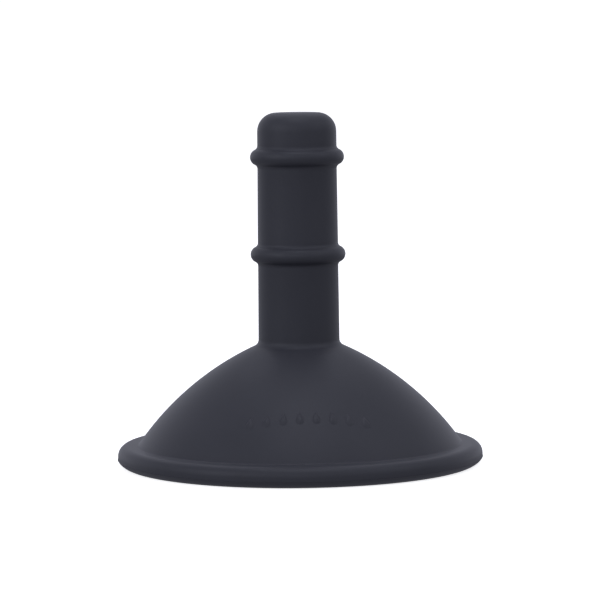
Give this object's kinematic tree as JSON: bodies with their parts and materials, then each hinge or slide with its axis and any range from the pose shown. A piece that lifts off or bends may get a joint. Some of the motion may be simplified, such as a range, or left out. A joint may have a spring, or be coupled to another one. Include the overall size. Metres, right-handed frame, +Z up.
{
  "type": "sink plunger",
  "caption": "Short hand plunger with a flexible domed rubber cup, a rounded sealing rim and a straight ribbed rubber grip over a stiff core.",
  "frame": {"origin": "centre of the flat sealing face under the rim, at the bottom of the part", "axes": "+Z up the grip; the plain raised marks on the dome face -Y"},
  "size_m": [0.13, 0.13, 0.1249],
  "materials": {
    "moulded_rubber": "soft matt, fine mould texture",
    "core_plastic": "natural moulded polypropylene",
    "turned_brass": "turned",
    "pressed_stainless": "pressed sheet, fine rolling grain",
    "screw_steel": "plain stainless"
  },
  "bodies": {
    "cup": {"rubber_cup": "moulded_rubber"},
    "handle": {"grip_sleeve": "moulded_rubber", "core_tube": "core_plastic", "core_foot": "core_plastic", "threaded_insert": "turned_brass", "crown_plate": "pressed_stainless", "clamp_screw": "screw_steel"}
  },
  "joints": [
    {"name": "plunge_stroke", "type": "slide", "parent": "cup", "child": "handle", "axis": [0, 0, 1], "range_m": [-0.018, 0.004], "stiffness_N_per_m": 3000, "deforming": ["rubber_cup"]}
  ]
}
